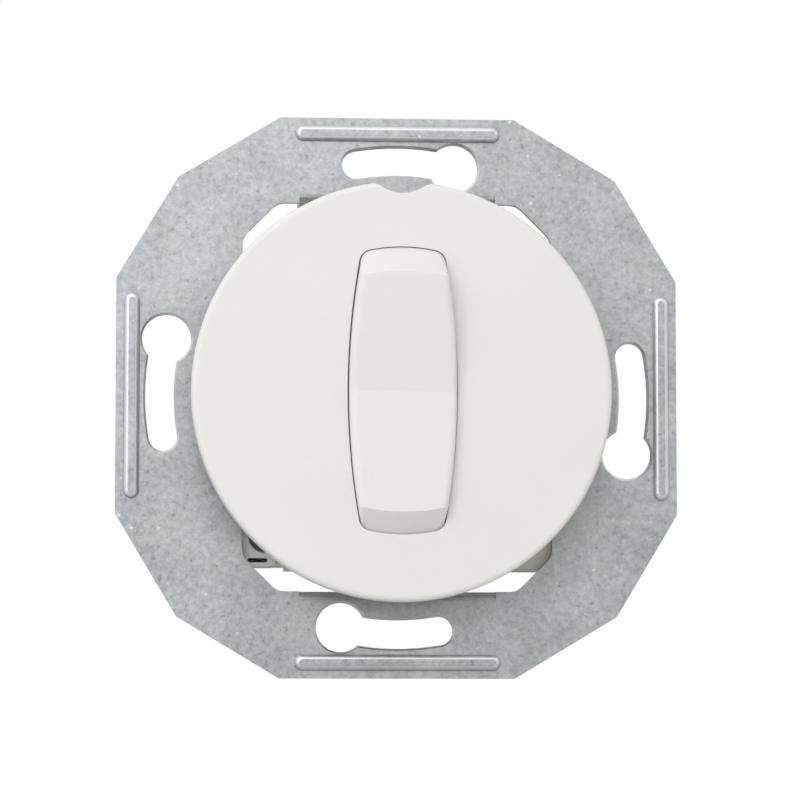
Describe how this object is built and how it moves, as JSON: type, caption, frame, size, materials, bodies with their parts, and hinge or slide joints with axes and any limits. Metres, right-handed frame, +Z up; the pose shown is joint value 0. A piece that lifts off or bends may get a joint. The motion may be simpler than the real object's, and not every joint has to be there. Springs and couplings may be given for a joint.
{
  "type": "rocker light switch",
  "caption": "Flush-mounted light switch insert: steel mounting ring, round cover disc and a tall barrel-shaped rocker that tips a contact seesaw.",
  "frame": {"origin": "centre of the mounting ring's back face, on the wall plane", "axes": "+Z up, +X to the right seen from the front, +Y into the wall, so the front faces -Y"},
  "size_m": [0.071, 0.0367, 0.071],
  "materials": {
    "zinc_steel": "zinc plated",
    "screw_steel": "zinc plated",
    "spring_steel": "plain spring steel",
    "contact_brass": "stamped, plain",
    "silver": "silver rivet, plain",
    "cover_plastic": "satin, off-white",
    "base_plastic": "moulded, cream",
    "inner_plastic": "moulded, off-white",
    "lever_plastic": "moulded, light grey"
  },
  "bodies": {
    "body": {"mounting_ring": "zinc_steel", "base_housing": "base_plastic", "mechanism_cover": "inner_plastic", "cover_disc": "cover_plastic", "common_terminal": "contact_brass", "fixed_contact_upper": "contact_brass", "fixed_contact_lower": "contact_brass", "fixed_contact_tips": "silver", "clamp_spring_upper_left": "spring_steel", "clamp_spring_upper_right": "spring_steel", "clamp_spring_lower_left": "spring_steel", "clamp_spring_lower_right": "spring_steel"},
    "rocker": {"rocker_button": "cover_plastic", "rocker_carrier": "inner_plastic", "contact_spring": "spring_steel"},
    "plunger": {"spring_plunger": "inner_plastic"},
    "contact_blade": {"moving_contact": "contact_brass", "moving_contact_tips": "silver"},
    "lever_left": {"release_lever_left": "lever_plastic"},
    "lever_right": {"release_lever_right": "lever_plastic"},
    "claw_screw_left": {"claw_screw_left": "screw_steel"},
    "claw_nut_left": {"claw_nut_left": "screw_steel"},
    "claw_left": {"claw_left": "screw_steel"},
    "claw_screw_right": {"claw_screw_right": "screw_steel"},
    "claw_nut_right": {"claw_nut_right": "screw_steel"},
    "claw_right": {"claw_right": "screw_steel"}
  },
  "joints": [
    {"name": "rocker_tip", "type": "hinge", "parent": "body", "child": "rocker", "pos_m": [0, -0.0055, 0], "axis": [-1, 0, 0], "range_deg": [0, 6]},
    {"name": "plunger_slide", "type": "slide", "parent": "rocker", "child": "plunger", "axis": [0, -0.9986, -0.0523], "range_m": [0, 0.0008], "stiffness_N_per_m": 400, "springref_m": -0.001, "deforming": ["contact_spring"]},
    {"name": "contact_blade_tip", "type": "hinge", "parent": "body", "child": "contact_blade", "pos_m": [0, 0.00955, 0], "axis": [1, 0, 0], "range_deg": [0, 9]},
    {"name": "lever_left_press", "type": "slide", "parent": "body", "child": "lever_left", "axis": [0, 1, 0], "range_m": [0, 0.0012], "stiffness_N_per_m": 600, "springref_m": -0.001, "deforming": ["clamp_spring_upper_left", "clamp_spring_lower_left"]},
    {"name": "lever_right_press", "type": "slide", "parent": "body", "child": "lever_right", "axis": [0, 1, 0], "range_m": [0, 0.0012], "stiffness_N_per_m": 600, "springref_m": -0.001, "deforming": ["clamp_spring_upper_right", "clamp_spring_lower_right"]},
    {"name": "claw_screw_left_turn", "type": "hinge", "parent": "body", "child": "claw_screw_left", "pos_m": [-0.0229, 0, 0], "axis": [0, 1, 0], "range_deg": [0, 2880]},
    {"name": "claw_nut_left_slide", "type": "slide", "parent": "body", "child": "claw_nut_left", "axis": [0, -1, 0], "range_m": [0, 0.004]},
    {"name": "claw_left_swing", "type": "hinge", "parent": "claw_nut_left", "child": "claw_left", "pos_m": [-0.0245, 0.0166, 0], "axis": [0, 0, -1], "range_deg": [0, 25]},
    {"name": "claw_screw_right_turn", "type": "hinge", "parent": "body", "child": "claw_screw_right", "pos_m": [0.0229, 0, 0], "axis": [0, 1, 0], "range_deg": [0, 2880]},
    {"name": "claw_nut_right_slide", "type": "slide", "parent": "body", "child": "claw_nut_right", "axis": [0, -1, 0], "range_m": [0, 0.004]},
    {"name": "claw_right_swing", "type": "hinge", "parent": "claw_nut_right", "child": "claw_right", "pos_m": [0.0245, 0.0166, 0], "axis": [0, 0, 1], "range_deg": [0, 25]}
  ],
  "couplings": [
    {"joint": "contact_blade_tip", "follows": "rocker_tip", "ratio": 1.5},
    {"joint": "claw_screw_left_turn", "follows": "claw_nut_left_slide", "rad_per_m": 12566},
    {"joint": "claw_left_swing", "follows": "claw_nut_left_slide", "rad_per_m": 109},
    {"joint": "claw_screw_right_turn", "follows": "claw_nut_right_slide", "rad_per_m": 12566},
    {"joint": "claw_right_swing", "follows": "claw_nut_right_slide", "rad_per_m": 109}
  ]
}
